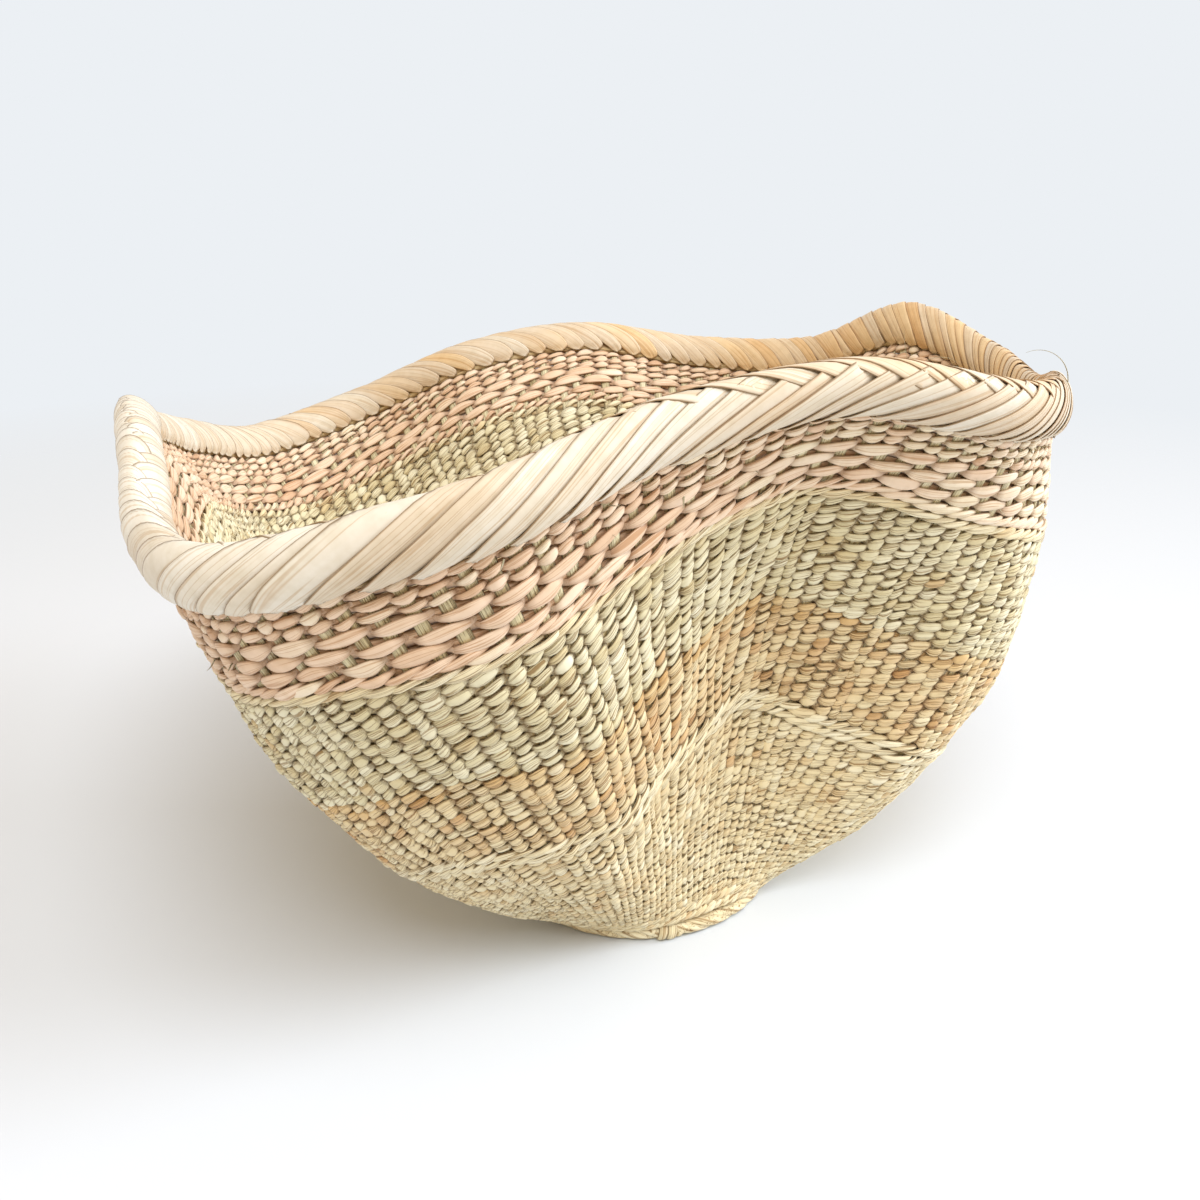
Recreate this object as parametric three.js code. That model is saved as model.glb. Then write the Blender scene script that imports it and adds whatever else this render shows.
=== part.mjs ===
import * as THREE from 'three';

// Palm leaf basket: a soft twined bowl with a small round foot, a wavy wall and a plaited rim.
// Millimetres, +Z up. The basket stands on its foot, and its front faces -Y.

// Reach of the rim line, and of the belly line half way up the wall
const rimWidth = 385;
const rimDepth = 384;
const rimHeight = 238;
const bellyWidth = 276;
const bellyDepth = 245;
const bellyHeight = 131;

// Foot
const footWidth = 108;
const footDepth = 108;
const footRopeWidth = 6.4;
const baseThickness = 4;

// Weave
const wallThickness = 3.6;
const twillThickness = 4.4;
const ropeThickness = 5;
const rowGap = 0.3;
const footSeam = 0.5;

// Heights of the bands, measured up the wall from the foot rope
const bottomWeaveRise = 46.1;
const lowerWeaveRise = 42.2;
const lowerRopeRise = 4.4;
const middleWeaveRise = 36.7;
const tanWeaveRise = 8.2;
const upperWeaveRise = 48.5;
const boundaryRopeRise = 3.9;
const twillRowRise = 5.4;
const plainRowRise = 3.7;
const rimRise = 19.4;

// Rim: a bundle of folded leaf ends between an outer and an inner plait
const rimThickness = 13;
const plaitThickness = 2.2;
const coreRise = 12.6;
const coreGap = 0.5;

// Half of the rim's outline from its lower edge to its top, and the height of the core's middle,
// in hundredths of the rim's rise and of half its thickness
const coreMiddleShare = 43;
const rimProfileShares = [
  [0, 44],
  [20, 86],
  [46, 100],
  [76, 80],
  [95, 38],
  [100, 0],
];

// Lines of the wall, each read at stations an equal number of stakes apart.
// They start at the front left corner and go round past the flute at the front right.
// Each station is across, back and up, in hundredths of half the line's width and depth
// and of its height, counted from the middle of the foot.
const rimShares = [
  [-76, -62, 83],
  [-58, -87, 85],
  [-26, -89, 92],
  [1, -74, 98],
  [30, -61, 100],
  [59, -45, 95],
  [73, -17, 92],
  [80, 13, 87],
  [81, 45, 88],
  [68, 71, 92],
  [49, 95, 82],
  [19, 109, 80],
  [-14, 108, 83],
  [-46, 104, 79],
  [-76, 104, 69],
  [-102, 86, 64],
  [-111, 57, 71],
  [-110, 26, 79],
  [-99, -4, 86],
  [-87, -33, 87],
];
const bellyShares = [
  [-72, -82, 61],
  [-47, -99, 73],
  [-14, -95, 80],
  [6, -72, 92],
  [28, -47, 100],
  [56, -38, 87],
  [86, -32, 74],
  [100, -1, 65],
  [92, 32, 76],
  [73, 61, 82],
  [52, 88, 75],
  [24, 100, 77],
  [-7, 96, 87],
  [-37, 91, 81],
  [-65, 98, 65],
  [-91, 82, 55],
  [-101, 49, 62],
  [-96, 16, 75],
  [-92, -19, 79],
  [-88, -53, 72],
];
const footStartAngle = THREE.MathUtils.degToRad(-130);

// Steps round a ring, and the share of a turn or of the wall used to measure its slope
const aroundSteps = 72;
const slopeStep = 0.002;

// Colours of the leaf
const straw = { color: 0xd9cfa8, roughness: 0.72, metalness: 0 };
const paleGreen = { color: 0xcfcba3, roughness: 0.72, metalness: 0 };
const tan = { color: 0xd8ab76, roughness: 0.72, metalness: 0 };
const pink = { color: 0xd2a68c, roughness: 0.66, metalness: 0 };
const cream = { color: 0xe6d3b0, roughness: 0.6, metalness: 0 };

function shareCurve(shares, width, depth, height) {
  const points = shares.map(([across, back, up]) => new THREE.Vector3(
    across / 100 * width / 2,
    back / 100 * depth / 2,
    up / 100 * height,
  ));
  return new THREE.CatmullRomCurve3(points, true, 'catmullrom', 0.5);
}

const rimLine = shareCurve(rimShares, rimWidth, rimDepth, rimHeight);
const bellyLine = shareCurve(bellyShares, bellyWidth, bellyDepth, bellyHeight);

function footPoint(turn) {
  const angle = footStartAngle + turn * 2 * Math.PI;
  return new THREE.Vector3(
    footWidth / 2 * Math.cos(angle),
    footDepth / 2 * Math.sin(angle),
    footRopeWidth / 2,
  );
}

// The foot rope has eight sides, flat underneath, and this is its reach to the corners.
const footRopeSides = 8;
const footRopeRadius = footRopeWidth / 2 / Math.cos(Math.PI / footRopeSides);

// A stake bends from the foot rope through the belly line to the rim line.
function wallLine(turn, share) {
  const around = ((turn % 1) + 1) % 1;
  const footPull = (1 - share) * (1 - 2 * share);
  const bellyPull = 4 * share * (1 - share);
  const rimPull = share * (2 * share - 1);
  return footPoint(around).multiplyScalar(footPull)
    .addScaledVector(bellyLine.getPoint(around), bellyPull)
    .addScaledVector(rimLine.getPoint(around), rimPull);
}

// Where each band starts and ends, as rises from the centre of the foot rope
const bandRises = {
  bottom_weave: bottomWeaveRise,
  lower_weave: lowerWeaveRise,
  lower_rope_1: lowerRopeRise,
  lower_rope_2: lowerRopeRise,
  middle_weave: middleWeaveRise,
  tan_weave: tanWeaveRise,
  upper_weave: upperWeaveRise,
  cream_rope: boundaryRopeRise,
  pink_rope: boundaryRopeRise,
  twill_row_1: twillRowRise,
  twill_row_2: twillRowRise,
  twill_row_3: twillRowRise,
  plain_row_1: plainRowRise,
  plain_row_2: plainRowRise,
  plain_row_3: plainRowRise,
  rim: rimRise,
};
const bandSpans = {};
let wallRise = footRopeRadius + footSeam;
for (const [name, rise] of Object.entries(bandRises)) {
  const start = wallRise + rowGap;
  bandSpans[name] = { start, end: start + rise };
  wallRise = start + rise;
}

// Point of the wall at a rise above the foot rope, pushed out of the weave's middle by an offset
function wallPoint(turn, rise, offset) {
  const share = rise / wallRise;
  const point = wallLine(turn, share);
  const along = wallLine(turn + slopeStep, share).sub(wallLine(turn - slopeStep, share));
  const up = wallLine(turn, share + slopeStep).sub(wallLine(turn, share - slopeStep));
  return point.addScaledVector(along.cross(up).normalize(), offset);
}

// Closed ring whose cross-section is given as corners, placed by a function of turn and corner
function ringGeometry(corners, place) {
  const positions = [];
  const indices = [];
  for (let step = 0; step < aroundSteps; step += 1) {
    for (const corner of corners) {
      positions.push(...place(step / aroundSteps, corner).toArray());
    }
  }
  const count = corners.length;
  for (let step = 0; step < aroundSteps; step += 1) {
    const nextStep = (step + 1) % aroundSteps;
    for (let corner = 0; corner < count; corner += 1) {
      const nextCorner = (corner + 1) % count;
      const here = step * count + corner;
      const above = step * count + nextCorner;
      const ahead = nextStep * count + corner;
      const aheadAbove = nextStep * count + nextCorner;
      if (nextCorner === 0) {
        // The last side is split the other way, so it lies true against the ring below.
        indices.push(here, ahead, above);
        indices.push(ahead, aheadAbove, above);
      } else {
        indices.push(here, ahead, aheadAbove);
        indices.push(here, aheadAbove, above);
      }
    }
  }
  const geometry = new THREE.BufferGeometry();
  geometry.setAttribute('position', new THREE.Float32BufferAttribute(positions, 3));
  geometry.setIndex(indices);
  geometry.computeVertexNormals();
  return geometry;
}

const placeOnWall = (turn, [rise, offset]) => wallPoint(turn, rise, offset);

// Flat band of weave: up its outside, then down its inside
function weaveGeometry(span, thickness, levels) {
  const corners = [];
  for (let level = 0; level <= levels; level += 1) {
    corners.push([THREE.MathUtils.lerp(span.start, span.end, level / levels), thickness / 2]);
  }
  for (let level = levels; level >= 0; level -= 1) {
    corners.push([THREE.MathUtils.lerp(span.start, span.end, level / levels), -thickness / 2]);
  }
  return ringGeometry(corners, placeOnWall);
}

// Corners of a rounded bundle of leaf, seen across the wall
function roundCorners(middle, rise, thickness, sides) {
  return Array.from({ length: sides }, (_, side) => {
    const angle = side / sides * 2 * Math.PI;
    return [middle + rise / 2 * Math.sin(angle), thickness / 2 * Math.cos(angle)];
  });
}

function ropeGeometry(span) {
  const middle = (span.start + span.end) / 2;
  const corners = roundCorners(middle, span.end - span.start, ropeThickness, 6);
  return ringGeometry(corners, placeOnWall);
}

// The foot rope lies on the ground round the base, on a line through the start of the wall.
function footRopeGeometry() {
  const corners = Array.from({ length: footRopeSides }, (_, side) => (
    (side + 0.5) / footRopeSides * 2 * Math.PI
  ));
  return ringGeometry(corners, (turn, angle) => {
    const point = footPoint(turn);
    const outward = new THREE.Vector3(point.x, point.y, 0).normalize();
    return point.addScaledVector(outward, footRopeRadius * Math.cos(angle))
      .add(new THREE.Vector3(0, 0, footRopeRadius * Math.sin(angle)));
  });
}

// The woven base is a flat disc inside the foot rope.
function baseGeometry() {
  const inset = footRopeRadius + rowGap;
  const outline = new THREE.Shape();
  for (let step = 0; step < aroundSteps; step += 1) {
    const point = footPoint(step / aroundSteps);
    const reach = Math.hypot(point.x, point.y);
    const shrink = (reach - inset) / reach;
    if (step === 0) {
      outline.moveTo(point.x * shrink, point.y * shrink);
    } else {
      outline.lineTo(point.x * shrink, point.y * shrink);
    }
  }
  outline.closePath();
  return new THREE.ExtrudeGeometry(outline, { depth: baseThickness, bevelEnabled: false });
}

// Half of the rim's outline, drawn in by an inset: from its lower edge on the wall to its top
function rimOutline(inset) {
  const rise = rimRise - inset;
  return rimProfileShares.map(([up, out]) => [
    bandSpans.rim.start + up / 100 * rise,
    Math.max(out / 100 * rimThickness / 2 - inset, 0),
  ]);
}

// One plait covers one side of the rim, from its lower edge to the seam along the top.
function plaitGeometry(side) {
  const outline = [...rimOutline(0), ...rimOutline(plaitThickness).reverse()];
  const corners = outline.map(([rise, offset]) => [rise, side * Math.max(offset, rowGap / 2)]);
  return ringGeometry(side > 0 ? corners : corners.reverse(), placeOnWall);
}

// The leaf ends folded over the last row fill the rim under the plaits.
function rimCoreGeometry() {
  const middle = bandSpans.rim.start + coreMiddleShare / 100 * rimRise;
  const thickness = rimThickness - 2 * (plaitThickness + coreGap);
  return ringGeometry(roundCorners(middle, coreRise, thickness, 8), placeOnWall);
}

const pieces = [
  ['base', baseGeometry(), straw],
  ['foot_rope', footRopeGeometry(), straw],
  ['bottom_weave', weaveGeometry(bandSpans.bottom_weave, wallThickness, 3), straw],
  ['lower_weave', weaveGeometry(bandSpans.lower_weave, wallThickness, 2), straw],
  ['lower_rope_1', ropeGeometry(bandSpans.lower_rope_1), straw],
  ['lower_rope_2', ropeGeometry(bandSpans.lower_rope_2), straw],
  ['middle_weave', weaveGeometry(bandSpans.middle_weave, wallThickness, 2), straw],
  ['tan_weave', weaveGeometry(bandSpans.tan_weave, wallThickness, 1), tan],
  ['upper_weave', weaveGeometry(bandSpans.upper_weave, wallThickness, 3), paleGreen],
  ['cream_rope', ropeGeometry(bandSpans.cream_rope), straw],
  ['pink_rope', ropeGeometry(bandSpans.pink_rope), pink],
  ['twill_row_1', weaveGeometry(bandSpans.twill_row_1, twillThickness, 1), pink],
  ['twill_row_2', weaveGeometry(bandSpans.twill_row_2, twillThickness, 1), pink],
  ['twill_row_3', weaveGeometry(bandSpans.twill_row_3, twillThickness, 1), pink],
  ['plain_row_1', weaveGeometry(bandSpans.plain_row_1, wallThickness, 1), pink],
  ['plain_row_2', weaveGeometry(bandSpans.plain_row_2, wallThickness, 1), pink],
  ['plain_row_3', weaveGeometry(bandSpans.plain_row_3, wallThickness, 1), pink],
  ['rim_core', rimCoreGeometry(), straw],
  ['rim_outer_plait', plaitGeometry(1), cream],
  ['rim_inner_plait', plaitGeometry(-1), cream],
];

const basket = new THREE.Group();
for (const [name, geometry, look] of pieces) {
  const mesh = new THREE.Mesh(geometry, new THREE.MeshStandardMaterial(look));
  mesh.name = name;
  basket.add(mesh);
}

// The origin is on the ground under the middle of the basket's outline.
const middle = new THREE.Box3().setFromObject(basket, true).getCenter(new THREE.Vector3());
for (const mesh of basket.children) {
  mesh.position.set(-middle.x, -middle.y, 0);
}

export default basket;
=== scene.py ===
import math

import bpy
import numpy as np
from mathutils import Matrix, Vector


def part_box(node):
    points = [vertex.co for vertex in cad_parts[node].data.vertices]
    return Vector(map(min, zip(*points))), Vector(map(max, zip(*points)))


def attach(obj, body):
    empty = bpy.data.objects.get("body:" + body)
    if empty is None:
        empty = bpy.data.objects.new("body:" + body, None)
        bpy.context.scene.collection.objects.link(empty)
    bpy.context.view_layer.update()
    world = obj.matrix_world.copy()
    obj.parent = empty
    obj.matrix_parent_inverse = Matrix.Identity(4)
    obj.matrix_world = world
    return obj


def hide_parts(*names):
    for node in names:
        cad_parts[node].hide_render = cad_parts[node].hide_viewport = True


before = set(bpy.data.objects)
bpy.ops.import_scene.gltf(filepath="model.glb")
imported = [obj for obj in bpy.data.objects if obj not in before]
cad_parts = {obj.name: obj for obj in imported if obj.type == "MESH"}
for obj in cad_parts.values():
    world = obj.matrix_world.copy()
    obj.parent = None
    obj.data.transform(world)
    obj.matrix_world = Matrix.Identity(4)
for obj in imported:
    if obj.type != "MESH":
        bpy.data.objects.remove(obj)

# Palm leaf basket: stakes run from the foot to the rim, strands of leaf are twined round them in
# rows, and wide strips of leaf are plaited over the rim. Metres, +Z up, front towards -Y.

# The solids come in selected, and operators act on all that is selected
for shown in bpy.context.selected_objects:
    shown.select_set(False)
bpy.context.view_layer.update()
ROOT = "root"

# Reach of the rim line, and of the belly line half way up the wall
RIM_WIDTH, RIM_DEPTH, RIM_HEIGHT = 0.385, 0.384, 0.238
BELLY_WIDTH, BELLY_DEPTH, BELLY_HEIGHT = 0.276, 0.245, 0.131

# Foot, whose middle stands where the base does
FOOT_RADIUS = 0.054
FOOT_ROPE_WIDTH = 0.0064
FOOT_ROPE_RADIUS = FOOT_ROPE_WIDTH / 2
FOOT_ROPE_REACH = FOOT_ROPE_RADIUS / math.cos(math.pi / 8)
FOOT_SEAM = 0.0005
FOOT_START_ANGLE = math.radians(-130)
base_low, base_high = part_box("base")
FOOT_MIDDLE = np.array([
    (base_low[0] + base_high[0]) / 2,
    (base_low[1] + base_high[1]) / 2,
    0.0,
])
BASE_THICKNESS = base_high[2]

# Weave: stakes all round, the gap between rows, and how thick the wall is
STAKES = 160
ROW_GAP = 0.0003
WALL_THICKNESS = 0.0036
TWILL_THICKNESS = 0.0044
ROPE_THICKNESS = 0.005
RIM_THICKNESS = 0.013

# Heights of the bands, measured up the wall from the foot rope
BAND_RISES = {
    "bottom_weave": 0.0461,
    "lower_weave": 0.0422,
    "lower_rope_1": 0.0044,
    "lower_rope_2": 0.0044,
    "middle_weave": 0.0367,
    "tan_weave": 0.0082,
    "upper_weave": 0.0485,
    "cream_rope": 0.0039,
    "pink_rope": 0.0039,
    "twill_row_1": 0.0054,
    "twill_row_2": 0.0054,
    "twill_row_3": 0.0054,
    "plain_row_1": 0.0037,
    "plain_row_2": 0.0037,
    "plain_row_3": 0.0037,
    "rim": 0.0194,
}

# Lines of the wall, each read at stations an equal number of stakes apart, from the front left
# corner round past the flute at the front right. Each station is across, back and up, in
# hundredths of half the line's width and depth and of its height, from the middle of the foot.
RIM_SHARES = (
    (-76, -62, 83),
    (-58, -87, 85),
    (-26, -89, 92),
    (1, -74, 98),
    (30, -61, 100),
    (59, -45, 95),
    (73, -17, 92),
    (80, 13, 87),
    (81, 45, 88),
    (68, 71, 92),
    (49, 95, 82),
    (19, 109, 80),
    (-14, 108, 83),
    (-46, 104, 79),
    (-76, 104, 69),
    (-102, 86, 64),
    (-111, 57, 71),
    (-110, 26, 79),
    (-99, -4, 86),
    (-87, -33, 87),
)
BELLY_SHARES = (
    (-72, -82, 61),
    (-47, -99, 73),
    (-14, -95, 80),
    (6, -72, 92),
    (28, -47, 100),
    (56, -38, 87),
    (86, -32, 74),
    (100, -1, 65),
    (92, 32, 76),
    (73, 61, 82),
    (52, 88, 75),
    (24, 100, 77),
    (-7, 96, 87),
    (-37, 91, 81),
    (-65, 98, 65),
    (-91, 82, 55),
    (-101, 49, 62),
    (-96, 16, 75),
    (-92, -19, 79),
    (-88, -53, 72),
)

# Outline of the rim across the wall, from its outer lower edge over the top to its inner lower
# edge: rise and reach outwards, in hundredths of the rim's rise and of half its thickness
RIM_OUTLINE_SHARES = (
    (0, 44),
    (20, 86),
    (46, 100),
    (76, 80),
    (95, 38),
    (100, 0),
    (95, -38),
    (76, -80),
    (46, -100),
    (20, -86),
    (0, -44),
)

# Unevenness from hand work, as waves: size, waves round the basket, waves up the wall, and start
DRIFT_WAVES = (
    (0.12, 23, 1.3, 0.0),
    (0.07, 43, -0.9, 0.2),
    (0.05, 67, 0.6, 0.5),
)
DENT_WAVES = (
    (1.0, 9, 2.1, 0.0),
    (1.0, 17, -3.2, 0.4),
    (0.7, 29, 5.0, 0.1),
)
DENT_DEPTH = 0.0005

# Share of the way round or up over which the wall's slope is read
SLOPE_STEP = 0.002

TURN = 2 * math.pi
chance = np.random.default_rng(160)


# The wall's surface

def share_points(shares, width, depth, height):
    """Stations of a line of the wall as places from the middle of the foot."""
    return np.array(shares) / 100 * np.array([width / 2, depth / 2, height])


RIM_LINE = share_points(RIM_SHARES, RIM_WIDTH, RIM_DEPTH, RIM_HEIGHT)
BELLY_LINE = share_points(BELLY_SHARES, BELLY_WIDTH, BELLY_DEPTH, BELLY_HEIGHT)
RIM_OUTLINE = np.array(RIM_OUTLINE_SHARES) / 100 * np.array([BAND_RISES["rim"], RIM_THICKNESS / 2])


def closed_curve(points, turn):
    """Place on a smooth closed line through evenly counted points."""
    count = len(points)
    place = (turn % 1.0) * count
    index = np.floor(place).astype(int) % count
    part = (place - np.floor(place))[..., None]
    before = points[(index - 1) % count]
    here = points[index]
    ahead = points[(index + 1) % count]
    beyond = points[(index + 2) % count]
    return (
        (2 * part**3 - 3 * part**2 + 1) * here
        + (part**3 - 2 * part**2 + part) * (ahead - before) / 2
        + (3 * part**2 - 2 * part**3) * ahead
        + (part**3 - part**2) * (beyond - here) / 2
    )


def foot_line(turn):
    """Middle of the foot rope."""
    angle = FOOT_START_ANGLE + (turn % 1.0) * TURN
    return np.stack([
        FOOT_RADIUS * np.cos(angle),
        FOOT_RADIUS * np.sin(angle),
        np.full_like(angle, FOOT_ROPE_RADIUS),
    ], axis=-1)


def band_spans():
    """Where each band starts and ends, as rises from the middle of the foot rope."""
    spans = {}
    reached = FOOT_ROPE_REACH + FOOT_SEAM
    for name, rise in BAND_RISES.items():
        start = reached + ROW_GAP
        spans[name] = (start, start + rise)
        reached = start + rise
    return spans, reached


SPANS, WALL_RISE = band_spans()


def wall_line(turn, share):
    """A stake bends from the foot rope through the belly line to the rim line."""
    part = share[..., None]
    return (
        foot_line(turn) * (1 - part) * (1 - 2 * part)
        + closed_curve(BELLY_LINE, turn) * 4 * part * (1 - part)
        + closed_curve(RIM_LINE, turn) * part * (2 * part - 1)
    )


def unit(vectors):
    return vectors / np.linalg.norm(vectors, axis=-1, keepdims=True)


def waves(readings, turn, share):
    return sum(
        size * np.sin(TURN * (around * turn + upward * share + start))
        for size, around, upward, start in readings
    )


def handmade(turn, share):
    """How far hand work has moved the weave: sideways, in stakes, and outwards."""
    fade = np.clip(5 * share * (1 - share), 0, 1)
    drift = waves(DRIFT_WAVES, turn, share)
    dent = waves(DENT_WAVES, turn, share)
    return fade * drift, fade * dent * DENT_DEPTH


def wall_frame(turn, rise):
    """Place in the middle of the weave, with the ways along the row, up the stake and out."""
    turn, rise = np.broadcast_arrays(turn, rise)
    share = rise / WALL_RISE
    drift, dent = handmade(turn, share)
    turn = turn + drift / STAKES
    place = wall_line(turn, share)
    along = wall_line(turn + SLOPE_STEP, share) - wall_line(turn - SLOPE_STEP, share)
    up = wall_line(turn, share + SLOPE_STEP) - wall_line(turn, share - SLOPE_STEP)
    out = unit(np.cross(along, up))
    return place + FOOT_MIDDLE + out * dent[..., None], unit(along), unit(up), out


def wall_place(turn, rise, offset):
    """Place that lies offset outwards from the middle of the weave."""
    place, along, up, out = wall_frame(turn, rise)
    return place + out * np.asarray(offset)[..., None]


# Strands

def sweep(centres, side, half_width, half_thickness, corners, closed):
    """Rings of corners round strands whose width lies along side."""
    if closed:
        ahead = np.roll(centres, -1, axis=1) - np.roll(centres, 1, axis=1)
    else:
        ahead = np.gradient(centres, axis=1)
    ahead = unit(ahead)
    across = unit(side - ahead * np.sum(side * ahead, axis=-1, keepdims=True))
    through = np.cross(ahead, across)
    angle = TURN * np.arange(corners) / corners - math.pi / 2
    reach = np.broadcast_to(half_width, centres.shape[:2])[..., None, None]
    depth = np.broadcast_to(half_thickness, centres.shape[:2])[..., None, None]
    return (
        centres[:, :, None]
        + across[:, :, None] * reach * np.sin(angle)[:, None]
        + through[:, :, None] * depth * np.cos(angle)[:, None]
    )


def ring_quads(number, closed):
    """Faces between neighbouring rings, from the numbers of the rings' corners."""
    steps, corners = number.shape[1:]
    step = np.arange(steps if closed else steps - 1)
    onward = (step + 1) % steps
    around = (np.arange(corners) + 1) % corners
    return np.stack([
        number[:, step],
        number[:, onward],
        number[:, onward][:, :, around],
        number[:, step][:, :, around],
    ], axis=-1).reshape(-1, 4)


def ring_map(rings, closed, flat):
    """Leaf map of those faces: metres along the strand, and the share of the way round it.

    The outer face takes 0 to 0.5 of the way round and the inner face takes 0.5 to 1.
    """
    count, steps, corners = rings.shape[:3]
    last = steps if closed else steps - 1
    middles = rings.mean(axis=2)
    stride = np.linalg.norm(middles - np.roll(middles, 1, axis=1), axis=-1)
    stride[:, 0] = 0
    run = np.cumsum(stride, axis=1)
    run_on = np.concatenate([run[:, 1:], run[:, -1:] + stride[:, -1:]], axis=1)[:, :last]
    run = np.broadcast_to(run[:, :last, None], (count, last, corners))
    run_on = np.broadcast_to(run_on[:, :, None], (count, last, corners))
    girth = np.arange(corners + 1) / corners
    if flat:
        face = np.linspace(0, 0.5, corners // 2)
        girth = np.concatenate([face, face + 0.5, [1.0]])
    low = np.broadcast_to(girth[:-1], (count, last, corners))
    high = np.broadcast_to(girth[1:], (count, last, corners))
    return np.stack([
        np.stack([run, low], axis=-1),
        np.stack([run_on, low], axis=-1),
        np.stack([run_on, high], axis=-1),
        np.stack([run, high], axis=-1),
    ], axis=-2).reshape(-1, 2)


def leaf_piece(name, strands, closed, flat=False):
    """One object from groups of strands, each given as rings of corners, a tone and a depth, which sets
    how much painted shade darkens it.
    """
    places, faces, leaf_map, tones, depths = [], [], [], [], []
    start = 0
    for rings, tone, depth in strands:
        count, steps, corners = rings.shape[:3]
        number = start + np.arange(count * steps * corners).reshape(count, steps, corners)
        faces.extend(ring_quads(number, closed).tolist())
        leaf_map.append(ring_map(rings, closed, flat))
        if not closed:
            ends = np.concatenate([number[:, 0], number[:, -1, ::-1]])
            faces.extend(ends.tolist())
            turn = np.arange(corners) / corners
            leaf_map.append(np.tile(np.stack([turn * 0, turn], axis=-1), (2 * count, 1)))
        places.append(rings.reshape(-1, 3))
        tones.append(np.repeat(np.broadcast_to(tone, (count, steps)).ravel(), corners))
        depths.append(np.repeat(np.broadcast_to(depth, (count, steps)).ravel(), corners))
        start += number.size
    mesh = bpy.data.meshes.new(name)
    mesh.from_pydata(np.concatenate(places).tolist(), [], faces)
    mesh.uv_layers.new(name="leaf").data.foreach_set("uv", np.concatenate(leaf_map).ravel())
    for attribute, values in (("tone", tones), ("depth", depths)):
        layer = mesh.attributes.new(attribute, "FLOAT", "POINT")
        layer.data.foreach_set("value", np.concatenate(values))
    mesh.shade_smooth()
    mesh.update()
    piece = bpy.data.objects.new(name, mesh)
    bpy.context.collection.objects.link(piece)
    return piece


def dress(piece, material, slot, *nodes):
    """Give a piece its material and its body, and hide the solids whose place it takes. The slot is not
    used.
    """
    piece.data.materials.append(material)
    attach(piece, ROOT)
    if nodes:
        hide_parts(*nodes)


# How the strands of a row pass the stakes: strands side by side, and stakes that each one passes
# over outside and then under inside
PLAIN = {"strands": 2, "over": 1, "under": 1}
TWILL = {"strands": 2, "over": 2, "under": 2}
ROPE = {"strands": 3, "over": 2, "under": 1}

# Where round the basket the pink strands are painted paler, as painted light where the window light
# falls on the right front, and how narrow the pale part is
PAINTED_LIGHT_TURN = 0.27
PAINTED_LIGHT_NARROWNESS = 6

# Half thickness of a strand in a thick row, and how unevenly its beads stand out, as a share of
# how far they swing
STRAND_HALF_THICKNESS = 0.00072
SWING_UNEVENNESS = 0.13

# Folds of leaf in the middle of the wall, darkened with painted shade, standing for the shadow in the
# gaps between the stakes
CORE_HALF_THICKNESS = 0.00012
CORE_TONE = 0.7
CORE_SHADE_DEPTH = 0.4


def waver_round(turn, row):
    """Slow rise and fall of a row round the basket, in wavers."""
    return (
        np.sin(TURN * (5 * turn + 0.11 * row))
        + np.sin(TURN * (13 * turn - 0.07 * row + 0.3))
        + np.sin(TURN * (47 * turn + chance.random()))
    )


def stray_round(turn):
    """Sideways drift of a strand's beads round the basket, in strays."""
    return np.sin(TURN * (37 * turn + chance.random())) + np.sin(TURN * (61 * turn + chance.random()))


def twined_strand(rise, row, lag, weave, look, stakes):
    """One strand of a row: turn, height, offset, half width, tone and depth at each step; the depth
    paints shade where the strand dives.
    """
    period = weave["over"] + weave["under"]
    count = stakes - stakes % period
    place = np.arange(count * look["steps"]) / look["steps"]
    passed = place + 0.5 - lag
    cycle = passed % period
    outside = cycle < weave["over"]
    angle = math.pi * np.where(
        outside,
        cycle / weave["over"],
        (cycle - weave["over"]) / weave["under"],
    )
    side = np.where(outside, 1.0, -1.0)
    swell = np.clip(np.sin(angle), 0, 1)
    beads = 2 * count // period
    bead = (2 * np.floor(passed / period).astype(int) + (1 - outside)) % beads
    uneven = chance.normal(0, 1, (4, beads))[:, bead]
    turn = place / count
    waver = look["waver"] * waver_round(turn, row)
    stray = look["stray"] * stray_round(turn)
    offset = side * look["swing"] * swell**look["round"] * (1 + SWING_UNEVENNESS * uneven[0] * swell)
    height = rise + waver - side * look["slant"] * np.cos(angle)
    height = height + look["jitter"] * uneven[1] * swell
    belly = swell**look["plump"] * np.clip(1 + look["uneven"] * uneven[2], 0.5, 1.6)
    width = look["half_width"] * (look["neck"] + (1 - look["neck"]) * belly)
    stretch = bead * period / 2 / count
    phases = chance.random(2)
    run = np.sin(TURN * (7 * stretch + phases[0])) * np.sin(TURN * (11 * stretch + phases[1]))
    # Painted light: the tone is paler on the right front, where the window light falls
    painted_light = look["fade"] * np.clip(np.cos(TURN * (stretch - PAINTED_LIGHT_TURN)), 0, 1)**PAINTED_LIGHT_NARROWNESS
    tone = look["tone"] - painted_light + look["tone_spread"] * (0.8 * uneven[3] + 0.7 * run)
    return turn + stray / stakes, height, offset, width, np.clip(tone, 0, 1), swell


def twined_rows(rises, weave, look, surface=wall_frame, stakes=STAKES):
    """Strands of rows that twine round the stakes, each with its own small unevenness."""
    period = weave["over"] + weave["under"]
    lags = [strand * period / weave["strands"] + look["lag"] for strand in range(weave["strands"])]
    groups = [
        twined_strand(rise, row, lag, weave, look, stakes)
        for row, rise in enumerate(rises)
        for lag in lags
    ]
    turn, height, offset, width, tone, depth = (np.stack(values) for values in zip(*groups))
    middle, along, up, out = surface(turn, height)
    centres = middle + out * offset[..., None]
    rings = sweep(centres, up, width, look["half_thickness"], look["corners"], closed=True)
    return rings, tone, depth


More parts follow.
